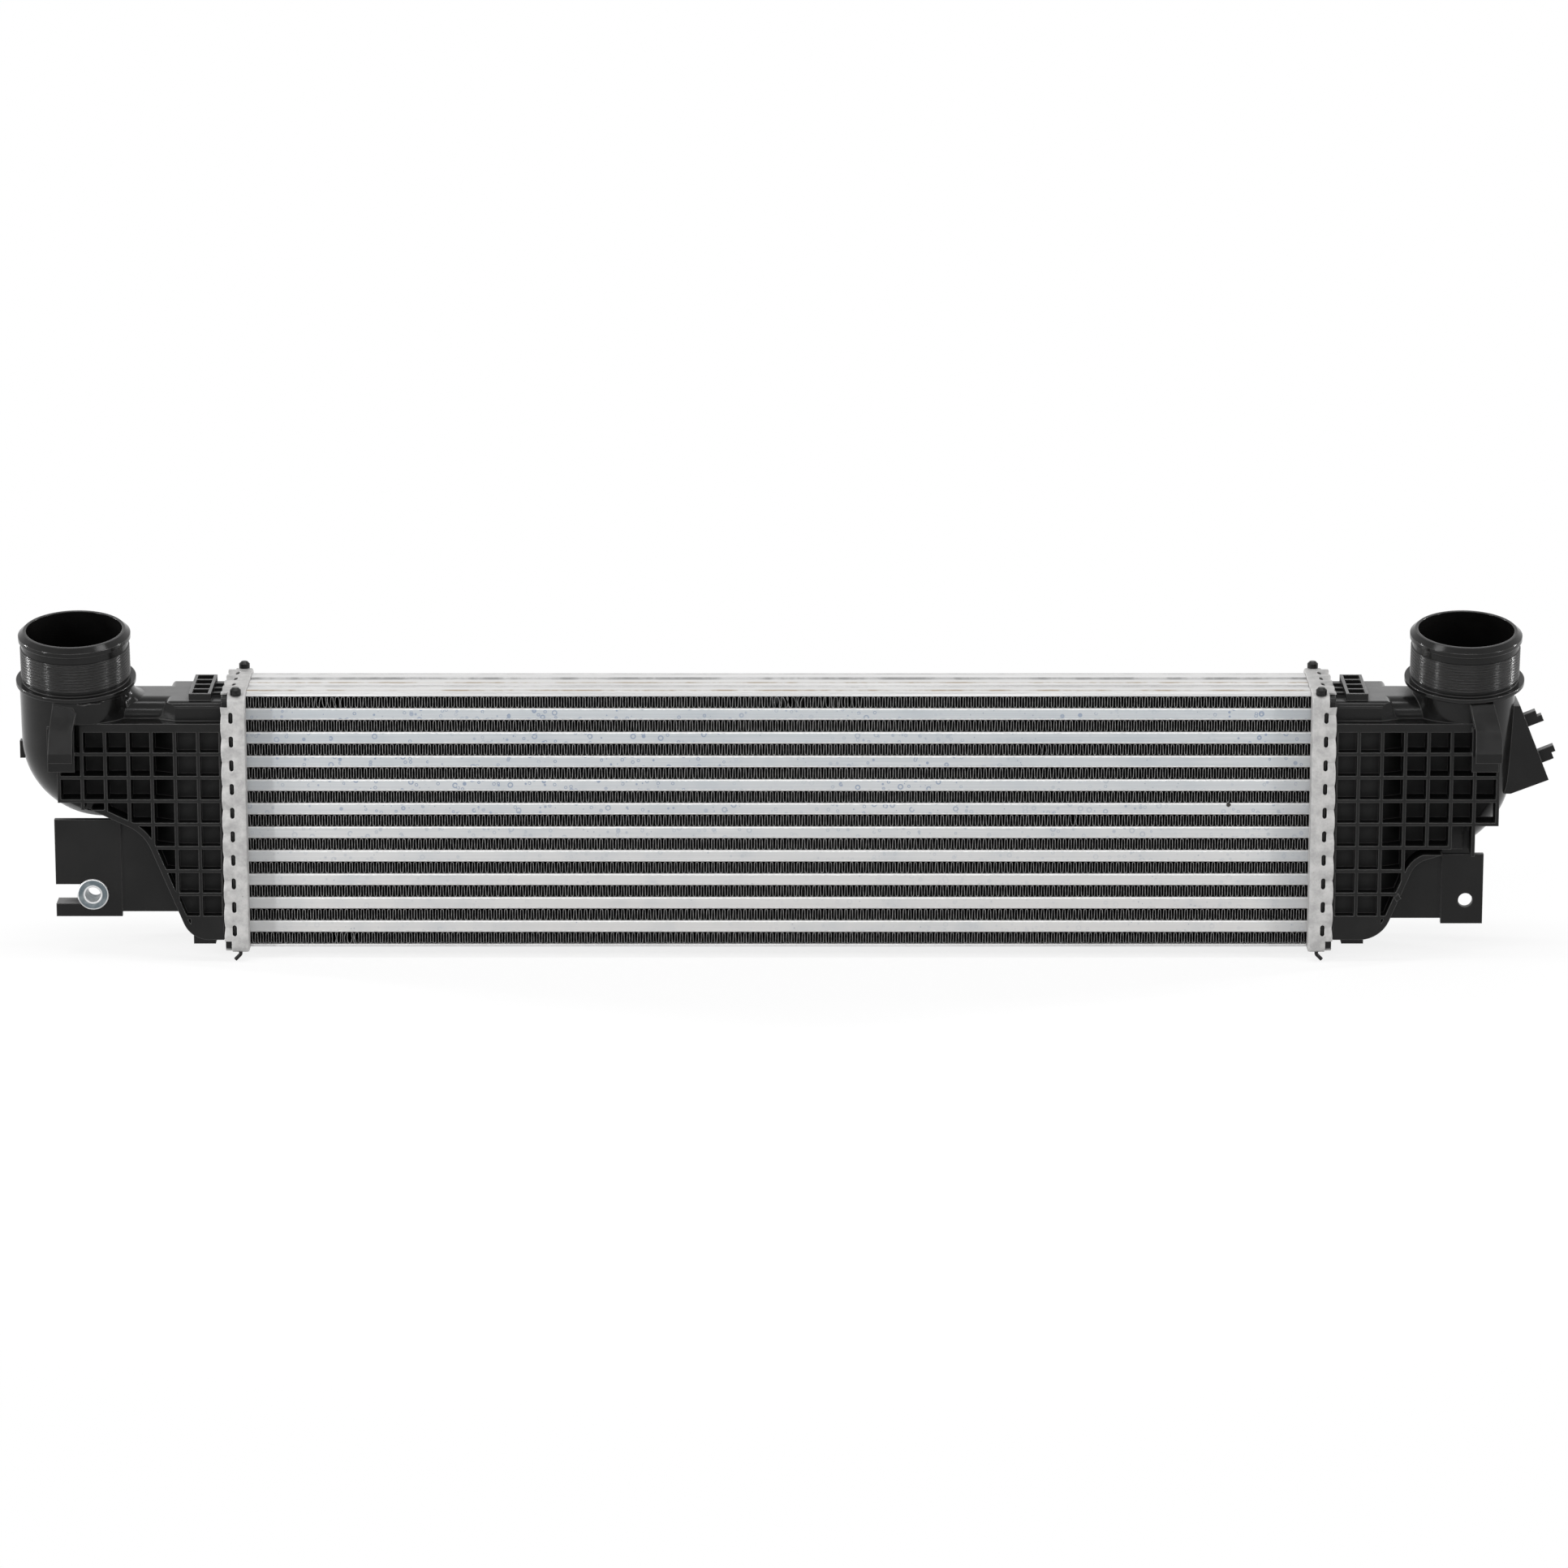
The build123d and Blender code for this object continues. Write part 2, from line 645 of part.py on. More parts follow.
def tank(shape):
    """One moulded tank, drawn for the right-hand end of the core."""
    skin = foot() + tank_body(shape, 0) + (elbow(shape, 0) - flats(shape, 0))
    ribs = lattice(shape)
    if shape is right:
        ribs += hanging_rib(shape)
    skin += ribs + mirror(ribs, about=Plane.XZ)
    skin += [pads(), hook(shape), bracket(shape), lean(Pos(shape.neck_x, 0, lean_height) * neck())]
    cavity = tank_body(shape, wall) + (elbow(shape, wall) - flats(shape, wall))
    mouth = plenum_half_depth - wall
    cavity += box(gasket_end - 1, header_outer, -mouth, mouth, tank_bottom + wall, tank_top - wall)
    low = collar_height - collar_thickness
    bore = extrude(Plane.XY.offset(low) * Circle(neck_bore_radius), amount=neck_top)
    cavity += lean(Pos(shape.neck_x, 0, lean_height) * bore)
    if shape is left:
        boss, cut = left_fixing(shape)
        return skin + boss + nub(shape) - cavity - cut
    seat, bore = sensor_seat(shape)
    x, z = shape.fixing
    hole = extrude(Plane.XZ * Pos(x, z) * Circle(right_hole_diameter / 2), amount=rib_front)
    return skin + seat + star(at(*star_place)) - cavity - bore - hole


def flip(thing):
    """The same thing at the left-hand end."""
    return mirror(thing, about=Plane.YZ)


pieces = {}
for i, level in enumerate(reversed(tube_levels), 1):
    pieces[f"tube_{i:02d}"] = flat_tube(level)
    pieces[f"turbulator_{i:02d}"] = turbulator(level)
for i, level in enumerate(reversed(fin_levels), 1):
    pieces[f"fin_row_{i:02d}"] = fin_row(level)
pieces["top_side_plate"] = side_plate()
pieces["bottom_side_plate"] = mirror(side_plate(), about=Plane.XY)
pieces["right_header"] = header()
pieces["left_header"] = flip(pieces["right_header"])
pieces["right_gasket"] = gasket()
pieces["left_gasket"] = flip(pieces["right_gasket"])
for name, y_sign in (("front", -1), ("back", 1)):
    rod = locking_rod(y_sign)
    pieces[f"right_{name}_rod"] = rod
    pieces[f"left_{name}_rod"] = flip(rod)
pieces["right_tank"] = tank(right)
pieces["left_tank"] = flip(tank(left))
pieces["bracket_sleeve"] = flip(sleeve(left))

whole = Compound(children=[Part() + piece for piece in pieces.values()]).bounding_box()
to_origin = Pos(-whole.center().X, -whole.center().Y, -whole.min.Z)
for name, piece in pieces.items():
    export_step(to_origin * piece, f"parts/{name}.step")
print("size", whole.size, "moved by", to_origin.position)
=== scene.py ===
import json
import math
import random
from collections import namedtuple

import bmesh
import bpy
from mathutils import Matrix, Vector
from mathutils.bvhtree import BVHTree


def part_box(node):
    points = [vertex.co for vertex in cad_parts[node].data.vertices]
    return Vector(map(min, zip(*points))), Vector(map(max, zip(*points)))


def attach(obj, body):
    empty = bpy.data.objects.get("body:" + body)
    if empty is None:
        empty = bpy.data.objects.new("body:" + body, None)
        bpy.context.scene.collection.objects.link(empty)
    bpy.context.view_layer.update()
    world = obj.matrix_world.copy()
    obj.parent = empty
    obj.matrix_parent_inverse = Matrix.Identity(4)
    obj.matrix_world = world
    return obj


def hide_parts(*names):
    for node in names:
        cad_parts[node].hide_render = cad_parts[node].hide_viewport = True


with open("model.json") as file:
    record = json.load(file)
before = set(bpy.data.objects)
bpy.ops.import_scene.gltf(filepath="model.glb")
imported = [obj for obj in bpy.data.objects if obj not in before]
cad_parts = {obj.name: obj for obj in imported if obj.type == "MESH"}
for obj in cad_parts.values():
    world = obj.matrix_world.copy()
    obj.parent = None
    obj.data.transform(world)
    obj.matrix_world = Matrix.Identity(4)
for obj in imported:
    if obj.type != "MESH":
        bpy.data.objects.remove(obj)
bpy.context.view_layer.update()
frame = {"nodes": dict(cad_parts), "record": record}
mounts = {mount["name"]: mount for mount in frame["record"]["mounts"]}
scene = bpy.context.scene
MM = 0.001

# Camera, worked out from the converging edges of the core and the ovals of the hose necks
PHOTO_SIZE = 1932
FOCAL_PIXELS = 8275
SENSOR_MM = 36
CAMERA_ELEVATION = math.radians(14.1)
CAMERA_DISTANCE = 3.989
CAMERA_TARGET = Vector((-0.0021, 0.006, 0.0993))

# Lamps: name, place, width, height and power
LAMP_TARGET = Vector((0, 0, 0.1))
LAMPS = (
    ("key", (-2.6, -1.5, 0.85), 0.15, 1.6, 48),
    ("left_rim", (-3.0, 0.8, 0.8), 0.15, 1.5, 70),
    ("fill", (2.7, -1.1, 0.85), 0.15, 1.6, 28),
    ("right_rim", (3.0, 0.9, 0.8), 0.15, 1.5, 60),
    ("front", (0, -2.3, 1.55), 2.4, 0.14, 13),
    ("low", (0, -2.4, 0.2), 2.4, 0.14, 4),
    ("top", (0, -0.3, 2.6), 3.0, 0.5, 28),
)

# World and floor: the floor is plain white for the camera, apart from a shadow near the object
WORLD_LEVEL = 0.38
FLOOR_REACH = 12
FLOOR_DROP = 0.3 * MM
SHADOW_NEAR = 0.45
SHADOW_FAR = 0.9
WHITE_NEAR = 0.8

# Fins
FIN_ROWS = 11
FIN_LEG_PITCH = 1.575 * MM
FIN_SHEET = 0.36 * MM
FIN_FOLD = 0.5 * MM
FIN_LEAN = 0.24 * MM
FIN_JITTER = 0.03 * MM
FIN_CURL = 0.05 * MM
FIN_LEAN_JITTER = 0.018 * MM
FIN_SWAY = 0.037
FIN_SWAY_SHARE = 0.8
FIN_SHARES = (-1, -0.75, 0, 0.75, 1)
FIN_CUT_FRONT = 1.15 * MM
FIN_CUT_BACK = 0.75 * MM
FIN_CUT_SOFT = 0.2 * MM

# Bent legs in the outer rows of fins: first leg, last leg and size. Each third row has one dent
# at a leg drawn by lot.
FIN_DENTS = {1: [(24, 36, 0.8 * MM), (196, 208, 0.9 * MM), (214, 232, 0.5 * MM)],
             11: [(30, 40, 0.7 * MM)]}
DENT_RANGE = (60, 340)
DENT_LEGS = 6
DENT_SIZE = 0.5 * MM
DENT_CURL = 1.3

# Hose ribs below the bead of each neck
NECK_RADIUS = 31.5 * MM
HOSE_RIB_START = 5.6 * MM
HOSE_RIB_PITCH = 1.85 * MM
HOSE_RIB_COUNT = 10
HOSE_RIB_HEIGHT = 0.75 * MM
HOSE_RIB_FOOT = 0.02 * MM
HOSE_RIB_SINK = 0.5 * MM
HOSE_RIB_GAP = 0.15
HOSE_RIB_SHAPE = ((0.35, 0.8), (0.5, 1.0), (0.65, 0.8))

# Crimped rim of the headers: slots, pressed flanks and cut-out corners
HEADER_SHEET = 1.6 * MM
TRAY_ROUND = 1.2 * MM
TRAY_MIDDLE = 0.35 * MM
TRAY_FLAT = 3.5 * MM
RIM_CORNER = 5.0 * MM
RIM_ROUND = 0.35 * MM
SLOT_INSET = 8.3 * MM
SLOT_HALF = 3.35 * MM
SLOT_RADIUS = 1.3 * MM
SLOT_STEP = 1.0 * MM
SLOT_TURNS = (25, 50, 70)
CRIMP_PRESS = 1.6 * MM
CRIMP_START = 1.6 * MM
CRIMP_FULL = 1.3 * MM
CRIMP_BORDER = 0.9 * MM
CRIMP_CREASE = 1.5 * MM
CREASE_HALF = 0.35 * MM
CRIMP_CURVE = 1.1
CRIMP_END = 1.6
CRIMP_REACH = 4.9 * MM
CRIMP_DRAW = 0.4 * MM
CRIMP_SPOTS = (-6.4 * MM, -5.2 * MM, -4.1 * MM, 4.1 * MM, 5.0 * MM, 5.9 * MM, 6.7 * MM)
NOTCH_DEPTH = 4.2 * MM
NOTCH_SIZE = 7.5 * MM
NOTCH_STEP = 0.02 * MM
CORNER_SHARES = (0.2, 0.4, 0.6, 0.8)
WELD = 0.002 * MM
TRAY_SMOOTH = 35

# Points of the rim's outline at a slot: its edges near and far from the tray's floor, on the
# sheet's outer and inner face
NEAR_OUTER, FAR_OUTER, FAR_INNER, NEAR_INNER = 5, 6, 14, 15

# Rounded web at the foot of the left neck
DUCT_TOP = 156.08 * MM
SKIRT_RADIUS = 33.3 * MM
SKIRT_REACH = 9.0 * MM
SKIRT_SINK = 0.3 * MM
SKIRT_ROOT = 1.5 * MM
SKIRT_LOOK = 3.0 * MM
SKIRT_DROP = 6.0 * MM
SKIRT_STEP = 1.5 * MM
SKIRT_ROWS = 9
SKIRT_SHRINK = 0.85
SKIRT_TURNS = range(-84, 85, 4)

# Flat web over the right bracket
WEB_INSET = 49.9 * MM
WEB_WIDTH = 20.5 * MM
WEB_LOW = 61.0 * MM
WEB_HIGH = 84.9 * MM
WEB_FRONT = 18.8 * MM
WEB_SHEET = 3.0 * MM

# Tubes: rings crowd at the left end, both ends are stained, and one tube has a grain of dirt
TUBE_COOL = (0.37, 0.395, 0.415, 1.0)
TUBE_CLOUD = (0.3, 0.335, 0.37, 1.0)
TUBE_RING = (0.2, 0.24, 0.31, 1.0)
TUBE_SPECK = (0.2, 0.23, 0.28, 1.0)
TUBE_STAIN = (0.27, 0.28, 0.29, 1.0)
RING_SIZES = ((190.0, 0.12, 0.26), (330.0, 0.12, 0.3))
RINGS_THIN = -160 * MM
RINGS_THICK = -260 * MM
STAIN_START = 275 * MM
STAIN_FULL = 312 * MM
# Painted shade: tube faces more than this far behind their front and back are near black.
TUBE_PAINTED_SHADE_IN = 1.4 * MM
DIRT_PLACE = (0.2603, -0.021, 0.0934)
DIRT_REACH = 1.7 * MM

# Top side plate: a black scratch along it
SCRATCH_PLACE = 36.8 * MM
SCRATCH_SLOPE = -0.02
SCRATCH_LEFT = (25 * MM, 30 * MM)
SCRATCH_RIGHT = (68 * MM, 62 * MM)

# Lines along the side plates: distance from the back edge, half width, colour and strength. The grey
# ones are painted shade along the feet of the beads, the brown ones flux.
PLATE_WANDER = 1.4 * MM
PLATE_BROWN = (0.25, 0.185, 0.11, 1.0)
PLATE_PAINTED_SHADE = (0.27, 0.27, 0.27, 1.0)
PLATE_BANDS = ((4.5 * MM, 2.0 * MM, PLATE_PAINTED_SHADE, 0.5), (14.6 * MM, 2.4 * MM, PLATE_PAINTED_SHADE, 0.9),
               (27.0 * MM, 2.6 * MM, PLATE_BROWN, 0.85), (34.8 * MM, 2.2 * MM, PLATE_PAINTED_SHADE, 0.55),
               (47.0 * MM, 2.6 * MM, PLATE_BROWN, 1.0))

# Sleeve
ZINC_DARK = (0.1, 0.125, 0.14, 1.0)
ZINC_PALE = (0.2, 0.225, 0.235, 1.0)
TURNING_PITCH = 0.45 * MM

tube_boxes = [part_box(f"tube_{i:02d}") for i in range(1, FIN_ROWS)]
tube_pitch = (tube_boxes[0][0].z - tube_boxes[-1][0].z) / (len(tube_boxes) - 1)
tube_front = tube_boxes[0][0].y
tube_back = tube_boxes[0][1].y
tube_height = tube_boxes[0][1].z - tube_boxes[0][0].z
core_middle_y = (tube_front + tube_back) / 2
core_bottom = tube_boxes[-1][0].z
core_top = tube_boxes[0][1].z


class Nodes:
    """A short way to build the node tree of a material or a world."""

    def __init__(self, owner):
        owner.use_nodes = True
        self.tree = owner.node_tree
        self.shader = self.tree.nodes.get("Principled BSDF")
        self.place = self.add("ShaderNodeTexCoord").outputs["Object"]

    def add(self, kind, settings=None, **inputs):
        node = self.tree.nodes.new(kind)
        for name, value in (settings or {}).items():
            setattr(node, name, value)
        for name, value in inputs.items():
            self.feed(node.inputs[int(name[1:])] if name[1:].isdigit() else node.inputs[name], value)
        return node

    def feed(self, socket, value):
        if isinstance(value, bpy.types.NodeSocket):
            self.tree.links.new(value, socket)
        else:
            socket.default_value = value

    def set(self, name, value):
        self.feed(self.shader.inputs[name], value)

    def math(self, operation, first, second=0.0, third=0.0):
        settings = {"operation": operation}
        return self.add("ShaderNodeMath", settings, _0=first, _1=second, _2=third).outputs[0]

    def vector(self, operation, first, second=(0, 0, 0)):
        node = self.add("ShaderNodeVectorMath", {"operation": operation}, _0=first, _1=second)
        return node.outputs["Value" if operation in ("LENGTH", "DOT_PRODUCT") else "Vector"]

    def scaled(self, x, y, z):
        return self.vector("MULTIPLY", self.place, (x, y, z))

    def distance(self, centre, x, y, z):
        """The distance from a place, with each axis stretched."""
        offset = self.vector("SUBTRACT", self.place, centre)
        return self.vector("LENGTH", self.vector("MULTIPLY", offset, (x, y, z)))

    def noise(self, scale, detail=3.0, roughness=0.55, vector=None):
        node = self.add("ShaderNodeTexNoise", None, Vector=vector or self.place, Scale=scale,
                        Detail=detail, Roughness=roughness)
        return node.outputs["Fac"]

    def cells(self, scale, vector=None):
        node = self.add("ShaderNodeTexVoronoi", None, Vector=vector or self.place, Scale=scale)
        return node.outputs

    def shade(self, distance):
        """One in the open, and less where other faces are near."""
        node = self.add("ShaderNodeAmbientOcclusion", {"samples": 4}, Distance=distance)
        return node.outputs["AO"]

    def spread(self, value, low, high, to_low=0.0, to_high=1.0):
        node = self.add("ShaderNodeMapRange", {"interpolation_type": "SMOOTHSTEP"}, _0=value, _1=low,
                        _2=high, _3=to_low, _4=to_high)
        return node.outputs[0]

    def mix(self, share, first, second):
        node = self.add("ShaderNodeMix", {"data_type": "RGBA"}, _0=share, _6=first, _7=second)
        return node.outputs[2]

    def axes(self):
        return self.add("ShaderNodeSeparateXYZ", None, _0=self.place).outputs

    def rough(self, pattern, low, high):
        self.set("Roughness", self.spread(pattern, 0.3, 0.7, low, high))

    def bump(self, height, distance, strength, normal=None):
        node = self.add("ShaderNodeBump", None, Height=height, Distance=distance, Strength=strength)
        if normal is not None:
            self.feed(node.inputs["Normal"], normal)
        self.set("Normal", node.outputs[0])

    def soft_edges(self, radius):
        """The normal of edges rounded to a radius, and how far it turns from the flat face."""
        rounded = self.add("ShaderNodeBevel", {"samples": 6}, Radius=radius).outputs[0]
        flat = self.add("ShaderNodeNewGeometry").outputs["Normal"]
        return rounded, self.spread(self.vector("DOT_PRODUCT", rounded, flat), 0.995, 0.8)

    def rays(self, first, *others):
        """One where the ray is of one of these kinds."""
        path = self.add("ShaderNodeLightPath").outputs
        seen = path[first]
        for kind in others:
            seen = self.math("MAXIMUM", seen, path[kind])
        return seen


def grey(level, warm=0.0):
    """A near-neutral colour, warmer when warm is above zero."""
    return (level * (1 + warm), level, level * (1 - warm), 1.0)


def moulded_plastic(material):
    """Black glass-filled nylon: satin, with a painted highlight along its edges and painted shade in
    its cells, which are also rougher.
    """
    n = Nodes(material)
    rounded, edge = n.soft_edges(0.9 * MM)
    # Painted shade: near black where other faces are near, as in the lattice cells; the same mask
    # makes those faces rougher.
    open_vs_painted_shade = n.spread(n.shade(14 * MM), 0.45, 0.85)
    body = n.mix(n.spread(n.noise(35, 4), 0.35, 0.7), grey(0.0028, 0.03), grey(0.0055, 0.03))
    body = n.mix(open_vs_painted_shade, grey(0.0012), body)
    # Painted highlight: the colour turns paler along the rounded edges.
    n.set("Base Color", n.mix(n.math("MULTIPLY", edge, 0.85), body, grey(0.07, 0.02)))
    satin = n.spread(n.noise(120, 3), 0.3, 0.7, 0.12, 0.2)
    n.set("Roughness", n.math("ADD", satin, n.spread(open_vs_painted_shade, 0.0, 1.0, 0.4, 0.0)))
    n.set("Specular IOR Level", 0.23)
    n.bump(n.noise(1400, 2), 0.05 * MM, 0.35, rounded)


def header_aluminium(material):
    """Pressed and brazed tray: dull, cloudy, with small pits and flux marks, a painted highlight
    along its edges and painted shade in its slots.
    """
    n = Nodes(material)
    rounded, edge = n.soft_edges(0.8 * MM)
    body = n.mix(n.spread(n.noise(150, 5, 0.7), 0.3, 0.7), grey(0.3, 0.01), grey(0.45, 0.015))
    pit = n.math("MULTIPLY", n.spread(n.cells(420.0)["Distance"], 0.2, 0.1),
                 n.spread(n.noise(55, 2), 0.56, 0.66))
    body = n.mix(n.math("MULTIPLY", pit, 0.6), body, grey(0.16, 0.04))
    # Painted highlight: paler along the rounded edges.
    body = n.mix(n.math("MULTIPLY", edge, 0.5), body, grey(0.66, 0.005))
    # Painted shade: near black where other faces are near, as in the slots and under the rim.
    n.set("Base Color", n.mix(n.spread(n.shade(3.5 * MM), 0.3, 0.75), grey(0.02), body))
    n.set("Metallic", 0.25)
    n.rough(n.noise(150, 3), 0.42, 0.6)
    n.bump(n.noise(260, 3), 0.12 * MM, 0.5, rounded)


def water_rings(n, body, wetness):
    """Dried rings and specks over the colour of the tubes."""
    across = n.scaled(1, 0.02, 1)
    for scale, low, high in RING_SIZES:
        cells = n.cells(scale, across)
        chance = n.add("ShaderNodeSeparateColor", None, _0=cells["Color"]).outputs
        radius = n.math("MULTIPLY_ADD", chance[1], high - low, low)
        gap = n.math("ABSOLUTE", n.math("SUBTRACT", cells["Distance"], radius))
        ring = n.math("MULTIPLY", n.spread(gap, 0.1, 0.04), n.spread(chance[0], 0.6, 0.62))
        body = n.mix(n.math("MULTIPLY", ring, wetness), body, TUBE_RING)
    spot = n.math("MULTIPLY", n.spread(n.cells(330.0, across)["Distance"], 0.17, 0.11),
                  n.spread(n.noise(40, 2), 0.55, 0.62))
    return n.mix(n.math("MULTIPLY", spot, 0.7), body, TUBE_SPECK)


def tube_edge_highlights(n, body, z):
    """Painted highlights: pale lines along the top and the foot of each tube, where the fins are
    brazed to it.
    """
    level = n.math("FRACT", n.math("DIVIDE", n.math("SUBTRACT", z, core_bottom), tube_pitch))
    ragged = n.math("MULTIPLY_ADD", n.noise(420, 3), 0.05, level)
    top = tube_height / tube_pitch
    line = n.math("MULTIPLY", n.spread(ragged, top - 0.045, top - 0.02), n.spread(level, 0.6, 0.55))
    body = n.mix(line, body, grey(0.8, 0.005))
    return n.mix(n.spread(ragged, 0.1, 0.075, 0.0, 0.9), body, grey(0.84, 0.01))


def tube_aluminium(material):
    """Flat tubes: bluish above and warmer below, with painted highlights along their top and foot,
    stains and dried water.
    """
    n = Nodes(material)
    x, y, z = n.axes()
    rounded, _ = n.soft_edges(0.9 * MM)
    height = n.spread(z, core_bottom, core_top)
    streak = n.noise(1.0, 4, 0.6, n.scaled(9, 9, 2600))
    body = n.mix(height, grey(0.48, 0.015), TUBE_COOL)
    body = n.mix(n.spread(streak, 0.3, 0.75, 0.0, 0.4), body, grey(0.58, 0.005))
    body = n.mix(n.spread(n.noise(28, 3), 0.45, 0.75, 0.0, 0.35), body, TUBE_CLOUD)
    drops = n.spread(n.noise(11, 2), 0.36, 0.54)
    drops = n.math("MULTIPLY", drops, n.spread(height, 0.1, 0.8, 0.15, 1.0))
    left_end = n.math("MULTIPLY", n.spread(x, RINGS_THIN, RINGS_THICK), height)
    body = water_rings(n, body, n.math("MAXIMUM", drops, left_end))
    # Painted highlights along the top and the foot of each tube.
    body = tube_edge_highlights(n, body, z)
    stain = n.spread(n.math("ABSOLUTE", x), STAIN_START, STAIN_FULL, 0.0, 0.45)
    body = n.mix(stain, body, TUBE_STAIN)
    off = n.math("MULTIPLY_ADD", n.noise(700, 2), 1.2 * MM, n.distance(DIRT_PLACE, 1, 0.05, 1))
    body = n.mix(n.spread(off, DIRT_REACH + 0.4 * MM, DIRT_REACH), body, grey(0.012, 0.2))
    # Painted shade: near black on the tube faces hidden between the fins.
    painted_deep_shade = n.math("MULTIPLY", n.spread(y, tube_front, tube_front + TUBE_PAINTED_SHADE_IN),
                  n.spread(y, tube_back, tube_back - TUBE_PAINTED_SHADE_IN))
    n.set("Base Color", n.mix(painted_deep_shade, body, grey(0.012)))
    n.set("Metallic", 0.2)
    n.rough(n.noise(1.0, 3, 0.5, n.scaled(60, 60, 900)), 0.36, 0.55)
    n.bump(streak, 0.06 * MM, 0.4, rounded)


def fin_aluminium(material):
    """Folded fin sheet: grey at its cut edges, black where light doesn't reach between the legs."""
    n = Nodes(material)
    ragged = n.math("MULTIPLY_ADD", n.noise(500, 2), 0.3 * MM, n.axes()[1])
    front, back = tube_front + FIN_CUT_FRONT, tube_back - FIN_CUT_BACK
    cut = n.math("MAXIMUM", n.spread(ragged, front, front - FIN_CUT_SOFT),
                 n.spread(ragged, back, back + FIN_CUT_SOFT))
    # Painted shade: the flanks of the legs are near black, and darker still from 3 mm to 20 mm in
    # from the front and the back.
    painted_deep_shade = n.math("MULTIPLY", n.spread(ragged, tube_front + 3 * MM, tube_front + 20 * MM),
                  n.spread(ragged, tube_back - 3 * MM, tube_back - 20 * MM))
    painted_leg_shade = n.mix(painted_deep_shade, grey(0.02, 0.01), grey(0.002))
    edge = n.mix(n.spread(n.noise(300, 3), 0.35, 0.7), grey(0.12), grey(0.23, 0.01))
    n.set("Base Color", n.mix(cut, painted_leg_shade, edge))
    n.set("Specular IOR Level", 0.0)
    n.rough(n.noise(700, 2), 0.6, 0.8)
    n.bump(n.noise(900, 2), 0.04 * MM, 0.4)


def side_plate_aluminium(material):
    """Side plates: nearly white, streaked along their length, with brown lines of flux, grey lines of
    painted shade along the feet of the beads, and a scratch.
    """
    n = Nodes(material)
    x, y, _ = n.axes()
    rounded, _ = n.soft_edges(0.6 * MM)
    streak = n.noise(1.0, 5, 0.65, n.scaled(6, 900, 60))
    body = n.mix(n.spread(streak, 0.35, 0.7), grey(0.5, 0.003), grey(0.68, 0.004))
    along = n.noise(1.0, 5, 0.7, n.scaled(90, 14, 14))
    from_back = n.math("SUBTRACT", tube_back - PLATE_WANDER / 2, y)
    from_back = n.math("MULTIPLY_ADD", along, PLATE_WANDER, from_back)
    broken = n.spread(n.noise(1.0, 4, 0.7, n.scaled(55, 30, 30)), 0.38, 0.62, 0.25, 1.0)
    # Grey bands are painted shade at the feet of the beads; brown bands are flux.
    for place, half, colour, share in PLATE_BANDS:
        near = n.math("ABSOLUTE", n.math("SUBTRACT", from_back, place))
        line = n.math("MULTIPLY", n.spread(near, half, 0.3 * half, 0.0, share), broken)
        body = n.mix(line, body, colour)
    slant = n.math("MULTIPLY_ADD", x, SCRATCH_SLOPE, n.math("SUBTRACT", from_back, SCRATCH_PLACE))
    inside = n.math("MULTIPLY", n.spread(x, *SCRATCH_LEFT), n.spread(x, *SCRATCH_RIGHT))
    scratch = n.math("MULTIPLY", n.spread(n.math("ABSOLUTE", slant), 1.5 * MM, 0.7 * MM), inside)
    n.set("Base Color", n.mix(n.math("MULTIPLY", scratch, broken), body, grey(0.03)))
    n.set("Metallic", 0.2)
    n.rough(streak, 0.35, 0.55)
    n.bump(streak, 0.1 * MM, 0.5, rounded)


def black_steel(material):
    """Black coated wire of the locking rods."""
    n = Nodes(material)
    n.set("Base Color", n.mix(n.spread(n.noise(400, 4), 0.4, 0.7), grey(0.003), grey(0.01, 0.03)))
    n.set("Specular IOR Level", 0.2)
    n.rough(n.noise(500, 2), 0.28, 0.45)
    n.bump(n.noise(900, 3), 0.05 * MM, 0.5)


def zinc_steel(material):
    """Zinc plated sleeve: turning marks round its bore, painted highlights on bands at the bore and
    the rim and along its edges.
    """
    n = Nodes(material)
    sleeve = mounts["left_bracket_sleeve"]
    bore = sleeve["dims"]["r_mm"] * MM
    low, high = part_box("bracket_sleeve")
    rim = (high.x - low.x) / 2
    rounded, edge = n.soft_edges(0.8 * MM)
    radius = n.distance(sleeve["pos_m"], 1, 0, 1)
    turned = n.math("SINE", n.math("MULTIPLY", radius, 2 * math.pi / TURNING_PITCH))
    # Painted highlights: pale bands at the bore and the rim.
    bore_lip_highlight = n.math("MULTIPLY", n.spread(radius, bore + 1.4 * MM, bore + 0.8 * MM),
                      n.spread(radius, bore + 0.1 * MM, bore + 0.3 * MM))
    lip_highlights = n.math("MAXIMUM", bore_lip_highlight, n.spread(radius, rim - 1.1 * MM, rim - 0.5 * MM))
    body = n.mix(n.spread(n.noise(170, 3), 0.35, 0.7), ZINC_DARK, ZINC_PALE)
    body = n.mix(n.math("MULTIPLY", lip_highlights, 0.8), body, grey(0.72))
    # Painted highlight: paler along the rounded edges.
    n.set("Base Color", n.mix(n.math("MULTIPLY", edge, 0.85), body, grey(0.8)))
    n.set("Metallic", 0.85)
    n.rough(n.noise(350, 2), 0.28, 0.42)
    n.bump(turned, 0.02 * MM, 0.5, rounded)


def rubber(material):
    """Black rubber of the gaskets between tank and header."""
    n = Nodes(material)
    n.set("Base Color", n.mix(n.noise(300, 3), grey(0.012), grey(0.025)))
    n.rough(n.noise(600, 2), 0.65, 0.85)
    n.bump(n.noise(1200, 2), 0.05 * MM, 0.5)


